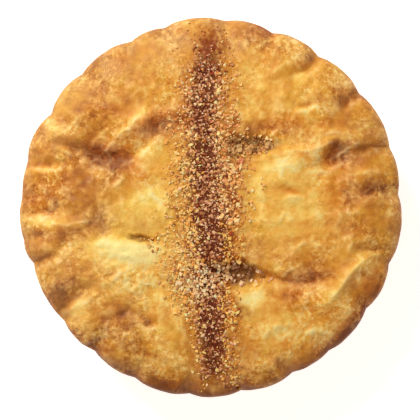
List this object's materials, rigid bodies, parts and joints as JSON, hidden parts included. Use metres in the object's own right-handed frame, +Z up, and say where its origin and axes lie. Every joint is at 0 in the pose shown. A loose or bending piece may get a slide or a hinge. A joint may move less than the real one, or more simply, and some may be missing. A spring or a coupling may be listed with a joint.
{
  "type": "steak pie",
  "caption": "Round single-serve savoury pie with a crimped puff pastry lid, steam vents and a baked-on stripe of coarse seasoning.",
  "frame": {"origin": "middle of the flat underside", "axes": "+Z up through the lid, +Y along the seasoning stripe"},
  "size_m": [0.1204, 0.1197, 0.0382],
  "materials": {
    "pastry": "baked golden puff pastry with a satin egg wash, browned on the folds and round the rim",
    "seasoning": "coarse beige and red-brown grains of spice, salt and crumb"
  },
  "bodies": {
    "root": {"pie": "pastry"}
  },
  "joints": []
}
